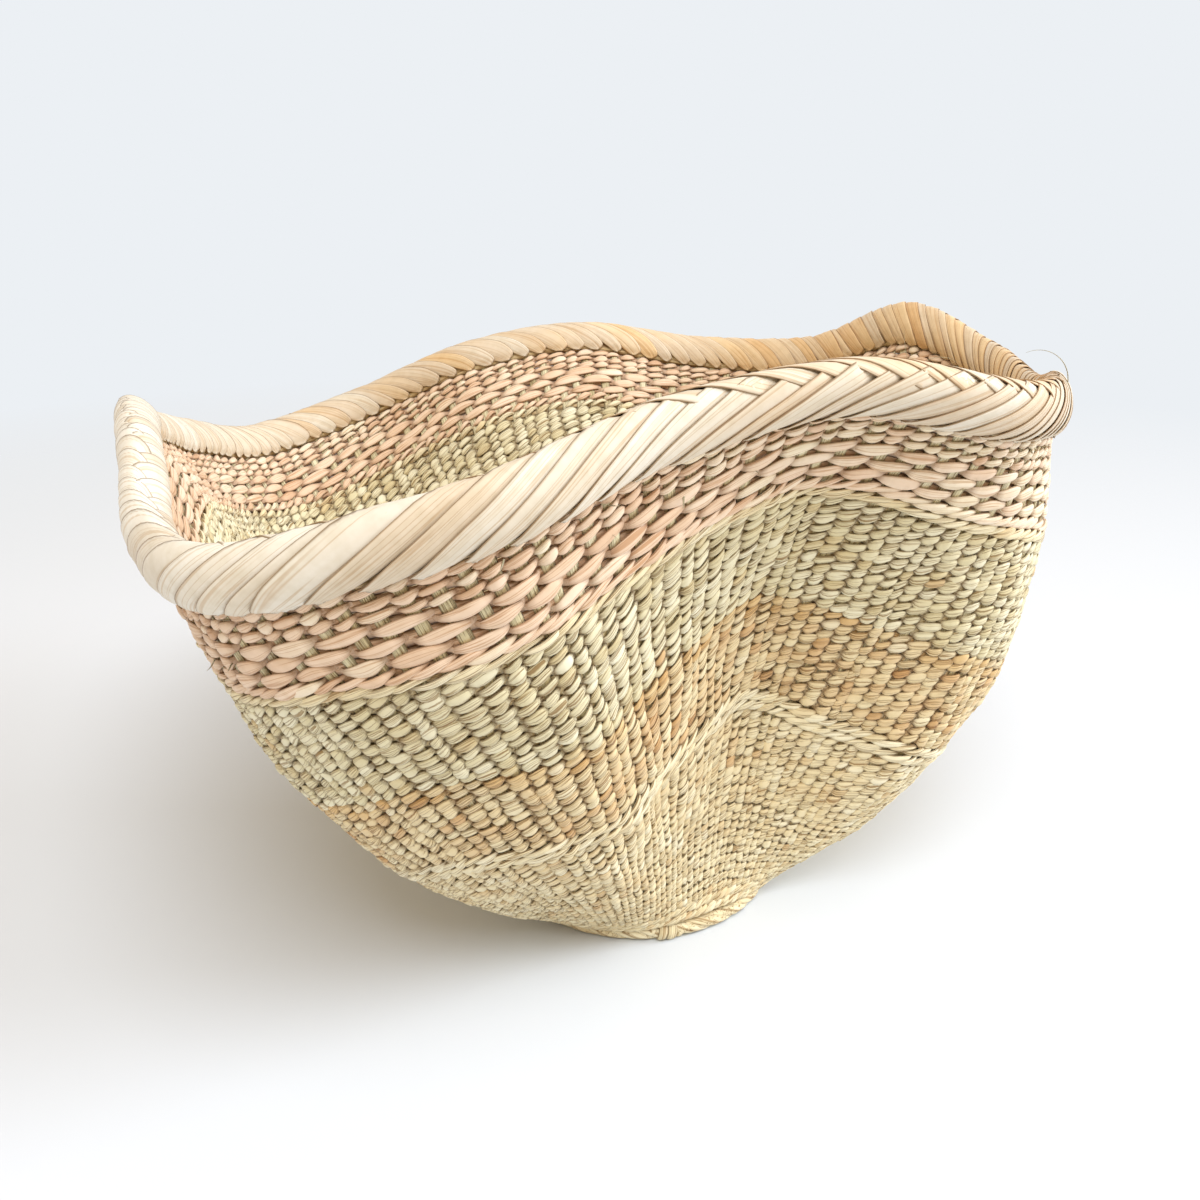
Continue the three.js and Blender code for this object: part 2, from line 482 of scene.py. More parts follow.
def core_folds(rises, row_rise):
    """Flat folds of leaf in the middle of the wall, which close the gaps between the stakes and are
    darkened with painted shade.
    """
    turn, height = np.meshgrid(np.arange(STAKES * 2) / STAKES / 2, rises)
    middle, along, up, out = wall_frame(turn, height)
    rings = sweep(middle, up, (row_rise + ROW_GAP) / 2, CORE_HALF_THICKNESS, 4, closed=True)
    return rings, CORE_TONE, CORE_SHADE_DEPTH


def row_rises(band, rows, first=0, last=None):
    """Rises of the middles of a band's rows."""
    low, high = SPANS[band]
    middles = low + (np.arange(rows) + 0.5) / rows * (high - low)
    return middles[first:last]


def row_look(row_rise, thickness, steps, **changes):
    """How a row looks, as plain twining unless changed.

    Lengths are in metres: half width and half thickness of a strand, its swing in and out, its slant
    and jitter up and down, and the waver of the row. Steps are readings from stake to stake. Neck,
    plump, round and uneven shape its beads, lag and stray are in stakes, and tones run from 0, pale,
    to 1, dark.
    """
    half_thickness = min(STRAND_HALF_THICKNESS, thickness / 5)
    look = {
        "steps": steps,
        "corners": 6,
        "half_width": row_rise / 2 * 1.04,
        "half_thickness": half_thickness,
        "swing": thickness / 2 - half_thickness * 0.8,
        "slant": row_rise * 0.29,
        "round": 0.5,
        "neck": 0.52,
        "lag": 0,
        "plump": 0.85,
        "uneven": 0.45,
        "jitter": 0.00030,
        "waver": 0.00016,
        "stray": 0.07,
        "tone": 0.35,
        "tone_spread": 0.16,
        # How much paler the tone is painted on the right front, as painted light
        "fade": 0.0,
    }
    look.update(changes)
    return look


# Materials

def leaf_colour(red, green, blue):
    """Colour as a picture shows it, turned into the light that it reflects."""
    levels = (part / 255 for part in (red, green, blue))
    return (*(((level + 0.055) / 1.055)**2.4 for level in levels), 1.0)


class Nodes:
    """Short ways to add and join the nodes of a material or of the world."""

    def __init__(self, owner):
        owner.use_nodes = True
        self.tree = owner.node_tree
        self.tree.nodes.clear()

    def add(self, kind, **settings):
        node = self.tree.nodes.new(kind)
        for name, value in settings.items():
            setattr(node, name, value)
        return node

    def join(self, source, target):
        self.tree.links.new(source, target)

    def maths(self, operation, first, second):
        node = self.add("ShaderNodeMath", operation=operation)
        for socket, value in zip(node.inputs, (first, second)):
            if isinstance(value, (int, float)):
                socket.default_value = value
            else:
                self.join(value, socket)
        return node.outputs[0]

    def ramp(self, factor, stops):
        node = self.add("ShaderNodeValToRGB")
        steps = node.color_ramp.elements
        while len(steps) < len(stops):
            steps.new(0.5)
        for step, (place, colour) in zip(steps, stops):
            step.position = place
            step.color = colour
        self.join(factor, node.inputs["Fac"])
        return node.outputs["Color"]

    def mix(self, factor, first, second, blend="MIX"):
        node = self.add("ShaderNodeMix", data_type="RGBA", blend_type=blend)
        for name, value in (("Factor", factor), ("A", first), ("B", second)):
            socket = next(s for s in node.inputs if s.name == name and s.enabled)
            if isinstance(value, (int, float, tuple)):
                socket.default_value = value
            else:
                self.join(value, socket)
        return next(s for s in node.outputs if s.enabled)

    def noise(self, vector, scale, detail=2.0):
        node = self.add("ShaderNodeTexNoise")
        node.inputs["Scale"].default_value = scale
        node.inputs["Detail"].default_value = detail
        node.inputs["Roughness"].default_value = 0.5
        self.join(vector, node.inputs["Vector"])
        return node.outputs["Fac"]


BLACK = (0, 0, 0, 1)
WHITE = (1, 1, 1, 1)

# Shades that darken the leaf's own colour: painted shade where it dives, and darker lines where it
# creases and between its fibres
SHADOW_BROWN = (0.30, 0.19, 0.10, 1)
# The crease brown darkens creases and lines between fibres, and also paints the shade line along strand
# edges
CREASE_AND_EDGE_SHADE_BROWN = (0.42, 0.30, 0.18, 1)
SOFT_CREASE = (0.70, 0.55, 0.42, 1)
PALE_CREASE = (0.80, 0.69, 0.57, 1)
FIBRE_SHADE = (0.97, 0.95, 0.91, 1)
THIN_FIBRE_SHADE = (0.98, 0.97, 0.95, 1)
MOTTLE_SHADE = (0.93, 0.92, 0.89, 1)

# Grains of the leaf, as readings of noise to the unit of the fibres and to the metre
FIBRE_SCALE = 1.6
MOTTLE_SCALE = 260.0
PATCH_SCALE = 26.0
FIBRE_CHANGE = 41.0
RELIEF_REACH = 0.0005

# Share of the way round a strand at which the painted shade line along its edges, where one strand lies
# on the next, starts and is full
EDGE_SHADE_LINE = (0.19, 0.246)
FINE_EDGE_SHADE_LINE = (0.229, 0.243)


def fibre_noise(nodes, parts, tone, lines, stretch):
    """Fibres: long along the strand, fine across it, and different from strand to strand."""
    place = nodes.add("ShaderNodeCombineXYZ")
    nodes.join(nodes.maths("MULTIPLY", parts["X"], stretch), place.inputs["X"])
    nodes.join(nodes.maths("MULTIPLY", parts["Y"], lines), place.inputs["Y"])
    nodes.join(nodes.maths("MULTIPLY", tone, FIBRE_CHANGE), place.inputs["Z"])
    return nodes.noise(place.outputs[0], FIBRE_SCALE, detail=1.2)


def darkened(nodes, amount, colour, shade):
    """The colour, with the shade over it where the amount is high."""
    return nodes.mix(amount, colour, nodes.mix(1.0, colour, shade, "MULTIPLY"))


def finish_leaf(nodes, colour, line_shade, fibre, roughness, fibre_depth):
    """Relief and shine of dry leaf."""
    bump = nodes.add("ShaderNodeBump")
    bump.inputs["Strength"].default_value = fibre_depth
    bump.inputs["Distance"].default_value = RELIEF_REACH
    relief = nodes.add("ShaderNodeRGBToBW")
    nodes.join(line_shade, relief.inputs[0])
    nodes.join(nodes.maths("ADD", relief.outputs[0], fibre), bump.inputs["Height"])
    shader = nodes.add("ShaderNodeBsdfPrincipled")
    shader.inputs["Specular IOR Level"].default_value = 0.35
    shader.inputs["Sheen Weight"].default_value = 0.1
    shader.inputs["Sheen Roughness"].default_value = 0.5
    rough = nodes.maths("ADD", nodes.maths("MULTIPLY", fibre, 0.25), roughness - 0.12)
    nodes.join(rough, shader.inputs["Roughness"])
    nodes.join(colour, shader.inputs["Base Color"])
    nodes.join(bump.outputs["Normal"], shader.inputs["Normal"])
    output = nodes.add("ShaderNodeOutputMaterial")
    nodes.join(shader.outputs["BSDF"], output.inputs["Surface"])


def leaf_material(
    name,
    tones,
    crease,
    roughness,
    fibre_depth,
    lines=5.5,
    stretch=12.0,
    edge=EDGE_SHADE_LINE,
):
    """Dry palm leaf: a tone for each bead or strip, fibres along it, and painted shade where it dives
    and along its edges.
    """
    material = bpy.data.materials.new(name)
    nodes = Nodes(material)
    leaf = nodes.add("ShaderNodeUVMap", uv_map="leaf").outputs["UV"]
    split = nodes.add("ShaderNodeSeparateXYZ")
    nodes.join(leaf, split.inputs[0])
    parts = split.outputs
    tone = nodes.add("ShaderNodeAttribute", attribute_name="tone").outputs["Fac"]
    depth = nodes.add("ShaderNodeAttribute", attribute_name="depth").outputs["Fac"]
    place = nodes.add("ShaderNodeTexCoord").outputs["Object"]
    fibre = fibre_noise(nodes, parts, tone, lines, stretch)
    mottle = nodes.noise(place, MOTTLE_SCALE)
    patch = nodes.noise(place, PATCH_SCALE)

    # Tone of the leaf, lighter and darker in patches
    patch_shift = nodes.maths("MULTIPLY", nodes.maths("SUBTRACT", patch, 0.5), 0.5)
    colour = nodes.ramp(nodes.maths("ADD", tone, patch_shift), tones)

    # Lines between the fibres, and fine mottling
    line_shade = nodes.ramp(fibre, (
        (0.28, crease),
        (0.36, FIBRE_SHADE),
        (0.44, FIBRE_SHADE),
        (0.475, crease),
        (0.51, THIN_FIBRE_SHADE),
        (0.66, WHITE),
    ))
    mottle_shade = nodes.ramp(mottle, ((0.3, MOTTLE_SHADE), (0.6, WHITE)))
    colour = nodes.mix(1.0, colour, line_shade, "MULTIPLY")
    colour = nodes.mix(1.0, colour, mottle_shade, "MULTIPLY")

    # Painted shade where the strand dives, and a painted shade line along its edges, where one strand
    # lies on the next
    dive = nodes.ramp(depth, (
        (0.0, (0.8, 0.8, 0.8, 1)),
        (0.32, (0.24, 0.24, 0.24, 1)),
        (0.6, BLACK),
    ))
    colour = darkened(nodes, dive, colour, SHADOW_BROWN)
    aside = nodes.maths("PINGPONG", nodes.maths("ADD", parts["Y"], 0.25), 0.25)
    edge_shade = nodes.ramp(aside, ((edge[0], BLACK), (edge[1], (0.9, 0.9, 0.9, 1))))
    colour = darkened(nodes, edge_shade, colour, CREASE_AND_EDGE_SHADE_BROWN)
    finish_leaf(nodes, colour, line_shade, fibre, roughness, fibre_depth)
    return material


natural_leaf = leaf_material("natural palm leaf", (
    (0.00, leaf_colour(246, 239, 210)),
    (0.30, leaf_colour(240, 228, 190)),
    (0.55, leaf_colour(234, 216, 173)),
    (0.76, leaf_colour(229, 203, 157)),
    (0.90, leaf_colour(219, 184, 134)),
    (1.00, leaf_colour(203, 160, 105)),
), CREASE_AND_EDGE_SHADE_BROWN, roughness=0.60, fibre_depth=0.6)
green_leaf = leaf_material("pale green palm leaf", (
    (0.00, leaf_colour(244, 241, 215)),
    (0.30, leaf_colour(236, 230, 198)),
    (0.55, leaf_colour(226, 217, 178)),
    (0.76, leaf_colour(221, 204, 158)),
    (0.92, leaf_colour(219, 190, 142)),
    (1.00, leaf_colour(206, 165, 112)),
), CREASE_AND_EDGE_SHADE_BROWN, roughness=0.58, fibre_depth=0.6)
tan_leaf = leaf_material("tan palm leaf", (
    (0.00, leaf_colour(240, 230, 199)),
    (0.32, leaf_colour(232, 211, 165)),
    (0.58, leaf_colour(226, 196, 143)),
    (0.82, leaf_colour(218, 180, 121)),
    (1.00, leaf_colour(202, 158, 100)),
), CREASE_AND_EDGE_SHADE_BROWN, roughness=0.60, fibre_depth=0.6)
pink_leaf = leaf_material("dusty pink palm leaf", (
    (0.00, leaf_colour(249, 238, 212)),
    (0.18, leaf_colour(248, 233, 210)),
    (0.40, leaf_colour(243, 219, 194)),
    (0.62, leaf_colour(235, 206, 177)),
    (0.84, leaf_colour(225, 191, 159)),
    (1.00, leaf_colour(214, 176, 141)),
), SOFT_CREASE, roughness=0.50, fibre_depth=0.3, lines=5.0, stretch=9.0)
rim_leaf = leaf_material("cream rim leaf", (
    (0.00, leaf_colour(242, 239, 229)),
    (0.28, leaf_colour(227, 218, 200)),
    (0.52, leaf_colour(223, 207, 183)),
    (0.78, leaf_colour(231, 203, 159)),
    (1.00, leaf_colour(222, 183, 131)),
), PALE_CREASE, roughness=0.52, fibre_depth=0.4, stretch=4.0, edge=FINE_EDGE_SHADE_LINE)
stake_leaf = leaf_material("ribbed stake leaf", (
    (0.00, leaf_colour(240, 234, 202)),
    (0.50, leaf_colour(229, 221, 183)),
    (1.00, leaf_colour(212, 197, 152)),
), CREASE_AND_EDGE_SHADE_BROWN, roughness=0.60, fibre_depth=0.8, lines=14.0, stretch=14.0)


# Weave of the wall

# Strands of the rope rows at the bottom: half width as a share of a row, and half thickness
ROPE_ROW_SHARE = 0.46
ROPE_ROW_HALF_THICKNESS = 0.0009


def weave_band(band, rows, pieces, material, slot, steps, ropes=0, **changes):
    """A band of plain rows, in as many pieces as its size needs, that may start with rope rows."""
    row_rise = BAND_RISES[band] / rows
    look = row_look(row_rise, WALL_THICKNESS, steps, **changes)
    rope = look | {
        "half_width": row_rise * ROPE_ROW_SHARE,
        "half_thickness": ROPE_ROW_HALF_THICKNESS,
        "corners": 8,
    }
    edges = np.linspace(0, rows, pieces + 1).astype(int)
    for part, (first, last) in enumerate(zip(edges[:-1], edges[1:])):
        rises = row_rises(band, rows, first, last)
        roped = max(ropes - first, 0)
        strands = [twined_rows(rises[roped:], PLAIN, look), core_folds(rises, row_rise)]
        if roped:
            strands.append(twined_rows(rises[:roped], ROPE, rope))
        name = f"{band}_rows_{part + 1}" if pieces > 1 else f"{band}_rows"
        dress(leaf_piece(name, strands, closed=True), material, slot, band)


weave_band("bottom_weave", 12, 2, natural_leaf, "natural_leaf", 4, ropes=2)
weave_band("lower_weave", 10, 2, natural_leaf, "natural_leaf", 5)
weave_band("middle_weave", 8, 2, natural_leaf, "natural_leaf", 6, tone=0.58, tone_spread=0.2)
weave_band("tan_weave", 2, 1, tan_leaf, "tan_leaf", 6, tone=0.40, tone_spread=0.24)
weave_band("upper_weave", 11, 2, green_leaf, "pale_green_leaf", 6, tone=0.38, tone_spread=0.18)


def single_row(band, weave, look, material, slot):
    """A band that is one row."""
    rises = row_rises(band, 1)
    strands = [twined_rows(rises, weave, look), core_folds(rises, BAND_RISES[band])]
    dress(leaf_piece(f"{band}_strands", strands, closed=True), material, slot, band)


THICK_HALF_THICKNESS = 0.0008
THICK_INSET = 0.0006


def thick_look(band, thickness, **changes):
    """Look of a row of thick strands."""
    return row_look(
        BAND_RISES[band],
        thickness,
        5,
        half_thickness=THICK_HALF_THICKNESS,
        swing=thickness / 2 - THICK_INSET,
        corners=8,
        **changes,
    )


def rope_look(band, **changes):
    reach = BAND_RISES[band] * 0.38
    return thick_look(band, ROPE_THICKNESS, half_width=reach, slant=reach, neck=0.40, **changes)


def twill_look(band, lag):
    return thick_look(
        band,
        TWILL_THICKNESS,
        half_width=BAND_RISES[band] / 2 * 0.94,
        slant=0.0010,
        neck=0.36,
        plump=0.75,
        uneven=0.16,
        round=0.42,
        lag=lag,
        tone=0.47,
        tone_spread=0.15,
        fade=0.36,
    )


def plain_look(band):
    return row_look(
        BAND_RISES[band],
        WALL_THICKNESS,
        6,
        half_width=BAND_RISES[band] / 2 * 0.95,
        slant=0.0008,
        neck=0.45,
        uneven=0.3,
        stray=0.10,
        tone=0.47,
        tone_spread=0.22,
        fade=0.42,
    )


for band, tone in (("lower_rope_1", 0.16), ("lower_rope_2", 0.16), ("cream_rope", 0.25)):
    single_row(band, ROPE, rope_look(band, tone=tone), natural_leaf, "natural_leaf")
single_row("pink_rope", ROPE, rope_look("pink_rope", tone=0.5, fade=0.35), pink_leaf, "pink_leaf")

for number in range(3):
    band = f"twill_row_{number + 1}"
    single_row(band, TWILL, twill_look(band, number), pink_leaf, "pink_leaf")

for number in range(3):
    band = f"plain_row_{number + 1}"
    single_row(band, PLAIN, plain_look(band), pink_leaf, "pink_leaf")


# Stakes

STAKE_STEPS = 64
STAKE_WIDTH_SHARE = 0.62
STAKE_HALF_WIDTHS = (0.0005, 0.0023)
STAKE_HALF_THICKNESS = 0.0005

# Stakes are thicker between the twill rows, where they show
TWILL_STAKE_HALF_THICKNESS = 0.0008
TWILL_STAKE_EASE = 0.004

# How far the stakes run on into the rim
STAKE_HOLD = 0.004


def stakes():
    """Every stake of the wall, from the foot rope into the rim."""
    turn = np.arange(STAKES)[:, None] / STAKES
    rise = np.linspace(FOOT_ROPE_RADIUS, SPANS["rim"][0] + STAKE_HOLD, STAKE_STEPS)[None, :]
    turn, rise = np.broadcast_arrays(turn, rise)
    middle, along, up, out = wall_frame(turn, rise)
    pitch = np.linalg.norm(wall_frame(turn + 1 / STAKES, rise)[0] - middle, axis=-1)
    half_width = np.clip(pitch * STAKE_WIDTH_SHARE / 2, *STAKE_HALF_WIDTHS)
    low, high = SPANS["twill_row_1"][0], SPANS["twill_row_3"][1]
    half_thickness = np.interp(
        rise,
        (low - TWILL_STAKE_EASE, low, high, high + TWILL_STAKE_EASE),
        (
            STAKE_HALF_THICKNESS,
            TWILL_STAKE_HALF_THICKNESS,
            TWILL_STAKE_HALF_THICKNESS,
            STAKE_HALF_THICKNESS,
        ),
    )
    rings = sweep(middle, along, half_width, half_thickness, 6, closed=False)
    tone = np.clip(0.5 + 0.25 * chance.normal(0, 1, (STAKES, 1)), 0, 1)
    return rings, tone, 1.0


dress(leaf_piece("stakes", [stakes()], closed=False), stake_leaf, "natural_leaf")


# Rim

STRIP_WIDTH = 0.0084
STRIP_SPACING_SHARE = 0.67
STRIP_THICKNESS = 0.00028
STRIP_STEPS = 26

# Section of a strip: columns of corners over a low crown with creases, one edge up on its neighbour
STRIP_COLUMNS = 9
STRIP_CROWN = 0.00026
STRIP_CREASE = 0.00006
STRIP_TILT = 0.00078

# Strips bend towards the ridge as they climb, and are narrower at their lower end
STRIP_BEND = 1.25
STRIP_FOOT_SHARE = 0.66
STRIP_FULL_CLIMB = 0.22
STRIP_WIDTH_LIMITS = (0.85, 1.6)

# How strips differ, as standard deviations in shares of their spacing, lead and width
STRIP_START_SPREAD = 0.07
STRIP_LEAD_SPREAD = 0.03
STRIP_WIDTH_SPREAD = 0.25

# Strips run on past the line where both sides meet and sink in there, and their lower ends turn in
STRIP_TUCK = 0.0045
STRIP_SINK = 0.0019
STRIP_SINK_WAY = 0.0044
STRIP_TAIL = 0.0012
STRIP_TAIL_SINK = 0.0009
STRIP_TAIL_CLIMB = 0.10

# Tone of the strips of each side: middle, swing round the basket, and spread from strip to strip. The
# inner side's darker, tanner middle is partly the leaf's own tan and partly painted shade.
OUTER_TONES = (0.29, 0.10, 0.14)
INNER_TONES = (0.50, 0.20, 0.10)

# Where round the basket the strips are darkest, partly as painted shade, and where they are palest, as
# painted light at the front left
TAN_TURN = 0.44
PALE_TURN = 0.94
PALE_STRENGTH = 0.16
PALE_NARROWNESS = 8

# Tenths of a stake that a strip passes on its way to the top, at even places round the rim
STRIP_LEADS = (45, 55, 62, 62, 54, 42, 30, 22, 20, 22, 30, 40, 44, 44, 40, 32, 24, 18, 18, 28)

# Where the strips of both sides meet, in hundredths of the way from the outer edge to the top
MEETING_SHARES = (
    116, 122, 120, 106, 87, 96, 96, 90, 88, 90,
    92, 92, 92, 92, 92, 94, 96, 98, 100, 106,
)

# Finer readings along lines that are measured
OUTLINE_READINGS = 401
ROUND_READINGS = 2001


def rim_profile():
    """Outline of the rim read evenly along its length: rise, reach out, and the way it faces."""
    stations = len(RIM_OUTLINE)
    share = np.linspace(0, (stations - 1) / stations, OUTLINE_READINGS)
    points = closed_curve(RIM_OUTLINE, share)
    length = np.concatenate([[0], np.cumsum(np.linalg.norm(np.diff(points, axis=0), axis=-1))])
    slope = unit(np.gradient(points, axis=0))
    facing = np.stack([slope[:, 1], slope[:, 0]], axis=-1) * np.array([-1, 1])
    return length, points, facing


PROFILE_LENGTH, PROFILE_POINTS, PROFILE_FACING = rim_profile()
RIDGE = PROFILE_LENGTH[-1] / 2


def rim_place(turn, way, lift):
    """Place on the rim: way is the distance over it from the outer lower edge.

    Beyond either edge the way goes on straight down the wall.
    """
    rise, reach = (np.interp(way, PROFILE_LENGTH, PROFILE_POINTS[:, axis]) for axis in (0, 1))
    rise = rise + np.clip(way, None, 0) - np.clip(way - 2 * RIDGE, 0, None)
    up, out = (np.interp(way, PROFILE_LENGTH, PROFILE_FACING[:, axis]) for axis in (0, 1))
    return wall_place(turn, SPANS["rim"][0] + rise + up * lift, reach + out * lift)


def stake_pitch(turn):
    """Distance from stake to stake at the rim, where it is widest."""
    low, high = SPANS["rim"]
    step = 0.5 / STAKES
    strides = [
        wall_place(turn + step, rise, reach) - wall_place(turn - step, rise, reach)
        for rise, reach in ((low, RIM_THICKNESS / 2), (low, -RIM_THICKNESS / 2), (high, 0.0))
    ]
    return np.max(np.linalg.norm(strides, axis=-1), axis=0)


def strip_leads(turn):
    """Stakes that a strip which starts here passes on its way to the top."""
    return closed_curve(np.array(STRIP_LEADS)[:, None] / 10, turn)[..., 0]


def strip_starts():
    """Turns at which strips start, closer together where they stand steeper."""
    turn = np.linspace(0, 1, ROUND_READINGS)
    pitch = stake_pitch(turn)
    run = strip_leads(turn) * pitch / RIDGE
    spacing = STRIP_SPACING_SHARE * STRIP_WIDTH * np.sqrt(1 + run**2)
    density = pitch * STAKES / spacing
    reached = np.concatenate([[0], np.cumsum((density[1:] + density[:-1]) / 2 * np.diff(turn))])
    strips = round(reached[-1])
    wanted = (np.arange(strips) + 0.5) / strips * reached[-1]
    return np.interp(wanted, reached, turn), np.interp(wanted, reached, spacing)


def strip_tones(start, inner):
    """Tone of each strip: tan at the back right, partly painted shade, and paler at the front left as
    painted light.
    """
    middle, swing, spread = INNER_TONES if inner else OUTER_TONES
    tan = middle + swing * np.cos(TURN * (start - TAN_TURN))
    pale = PALE_STRENGTH * np.clip(np.cos(TURN * (start - PALE_TURN)), 0, 1)**PALE_NARROWNESS
    return np.clip(tan - pale + spread * chance.normal(0, 1, start.shape), 0, 1)


def rim_strips(inner):
    """Strips that climb one side of the rim and tuck in under the strips of the other side."""
    start, spacing = strip_starts()
    start, spacing = start[:, None], spacing[:, None]
    shift = (0.5 if inner else 0.0) + STRIP_START_SPREAD * chance.normal(0, 1, start.shape)
    start = start + shift * spacing / stake_pitch(start) / STAKES
    leads = strip_leads(start) * (1 + STRIP_LEAD_SPREAD * chance.normal(0, 1, start.shape))

    # Middle line of each strip: how far over the rim, how far round, and how steep it stands
    share = closed_curve(np.array(MEETING_SHARES)[:, None] / 100, start + leads / STAKES)[..., 0]
    meeting = RIDGE * (2 - share if inner else share)
    climb = np.linspace(0, 1, STRIP_STEPS)[None, :]
    way = climb * (meeting + STRIP_TUCK + STRIP_TAIL) - STRIP_TAIL
    turn = start + leads * np.clip(way / RIDGE, 0, None)**STRIP_BEND / STAKES
    pitch = stake_pitch(turn)
    bend = STRIP_BEND * np.clip(way / RIDGE, 0.05, None)**(STRIP_BEND - 1)
    run = leads * bend * pitch / RIDGE
    slope = 1 / np.sqrt(1 + run**2)

    # Section across it: the outer face from edge to edge, then the inner face back
    fullness = 1 + STRIP_WIDTH_SPREAD * chance.normal(0, 1, start.shape)
    width = STRIP_WIDTH * np.clip(fullness, *STRIP_WIDTH_LIMITS)
    widening = np.clip(climb / STRIP_FULL_CLIMB, 0, 1)**0.8
    half = (width / 2 * (STRIP_FOOT_SHARE + (1 - STRIP_FOOT_SHARE) * widening))[..., None]
    column = np.linspace(1, -1, STRIP_COLUMNS)
    crease = STRIP_CREASE * chance.normal(0, 1, (len(start), STRIP_COLUMNS))
    crown = STRIP_CROWN * (1 - column**2) + crease
    column = np.concatenate([column, column[::-1]])
    crown = np.concatenate([crown, crown[:, ::-1]], axis=1)[:, None]
    face = np.repeat([0.5, -0.5], STRIP_COLUMNS)
    shift_along = half * column * slope[..., None]
    shift_way = -half * column * (run * slope)[..., None]

    # Height over the rim: each strip leans on its neighbour, and sinks in at both ends
    overlap_tilt = STRIP_TILT / (STRIP_SPACING_SHARE * STRIP_WIDTH)
    lift = crown + STRIP_THICKNESS * face - overlap_tilt * half * column
    past = np.clip((way - meeting) / STRIP_SINK_WAY + 0.5, 0, 1)
    tail = np.clip(1 - climb / STRIP_TAIL_CLIMB, 0, 1)
    lift = lift - (STRIP_SINK * past + STRIP_TAIL_SINK * tail)[..., None]
    across = np.clip(way[..., None] + shift_way, -STRIP_TAIL * 1.3, 2 * RIDGE)
    turns = turn[..., None] + shift_along / pitch[..., None] / STAKES
    if inner:
        rings = rim_place(turns, 2 * RIDGE - across, lift)[:, :, ::-1]
    else:
        rings = rim_place(turns, across, lift)
    # Painted shade: each strip darkens towards its lower end, and most where it sinks in past the
    # meeting line
    depth = np.clip(climb / 0.06, 0.3, 1) * np.clip((1.02 - climb) / 0.12, 0, 1)
    return rings, strip_tones(start, inner), depth


for side, inner in (("outer", False), ("inner", True)):
    strips = leaf_piece(f"rim_{side}_strips", [rim_strips(inner)], closed=False, flat=True)
    dress(strips, rim_leaf, "rim_leaf", f"rim_{side}_plait")

# Section of the bundle inside the rim, from the rim's lower edge
BUNDLE_MIDDLE = 0.0082
BUNDLE_HALF_RISE = 0.0085
BUNDLE_HALF_THICKNESS = 0.0041
BUNDLE_STEPS = 480
BUNDLE_CORNERS = 12
BUNDLE_TONE = 0.6


def rim_bundle():
    """Leaf ends folded over the last row, which fill the rim under its strips, darkened with painted
    shade.
    """
    turn = np.broadcast_to(
        np.arange(BUNDLE_STEPS)[:, None] / BUNDLE_STEPS,
        (BUNDLE_STEPS, BUNDLE_CORNERS),
    )
    angle = TURN * np.arange(BUNDLE_CORNERS) / BUNDLE_CORNERS - math.pi / 2
    rise = SPANS["rim"][0] + BUNDLE_MIDDLE + BUNDLE_HALF_RISE * np.sin(angle)
    offset = BUNDLE_HALF_THICKNESS * np.cos(angle)
    return wall_place(turn, rise, offset)[None], BUNDLE_TONE, CORE_SHADE_DEPTH


bundle = leaf_piece("rim_core_leaves", [rim_bundle()], closed=True)
dress(bundle, natural_leaf, "natural_leaf", "rim_core")


# Foot and base

FOOT_STRANDS = 3
FOOT_LAYS = 10
FOOT_STEPS = FOOT_LAYS * 32

# Strands of the foot rope, as shares of its radius: how far out they lie, and their half sizes
FOOT_STRAND_REACH = 0.46
FOOT_STRAND_HALF_WIDTH = 0.52
FOOT_STRAND_HALF_THICKNESS = 0.68


def foot_rope():
    """Strands twisted round the middle of the foot rope."""
    turn = np.broadcast_to(np.arange(FOOT_STEPS) / FOOT_STEPS, (FOOT_STRANDS, FOOT_STEPS))
    strand = np.arange(FOOT_STRANDS)[:, None] / FOOT_STRANDS
    angle = TURN * (FOOT_LAYS * turn + strand)
    out = unit(foot_line(turn) * np.array([1, 1, 0]))
    up = np.zeros_like(out) + np.array([0, 0, 1])
    swing = out * np.cos(angle)[..., None] - up * np.sin(angle)[..., None]
    rings = sweep(
        foot_line(turn) + FOOT_MIDDLE + swing * FOOT_ROPE_RADIUS * FOOT_STRAND_REACH,
        swing,
        FOOT_ROPE_RADIUS * FOOT_STRAND_HALF_WIDTH,
        FOOT_ROPE_RADIUS * FOOT_STRAND_HALF_THICKNESS,
        8,
        closed=True,
    )
    tone = np.clip(0.35 + 0.1 * np.sin(TURN * 7 * turn + strand * 9), 0, 1)
    return rings, tone, 1.0


rope = leaf_piece("foot_rope_strands", [foot_rope()], closed=True)
dress(rope, natural_leaf, "natural_leaf", "foot_rope")


def ring_ways(angle):
    """Ways outwards and along at an angle round the foot."""
    outward = np.stack([np.cos(angle), np.sin(angle), 0 * angle], axis=-1)
    along = np.stack([-np.sin(angle), np.cos(angle), 0 * angle], axis=-1)
    return outward, along


KNOT_ANGLE = math.radians(-79)
KNOT_LENGTH = 0.0105
KNOT_WRAPS = 3
KNOT_HALF_WIDTH = 0.0013
KNOT_SWELL = 0.0006
KNOT_HALF_THICKNESS = 0.0007
KNOT_LOWEST = 0.0009


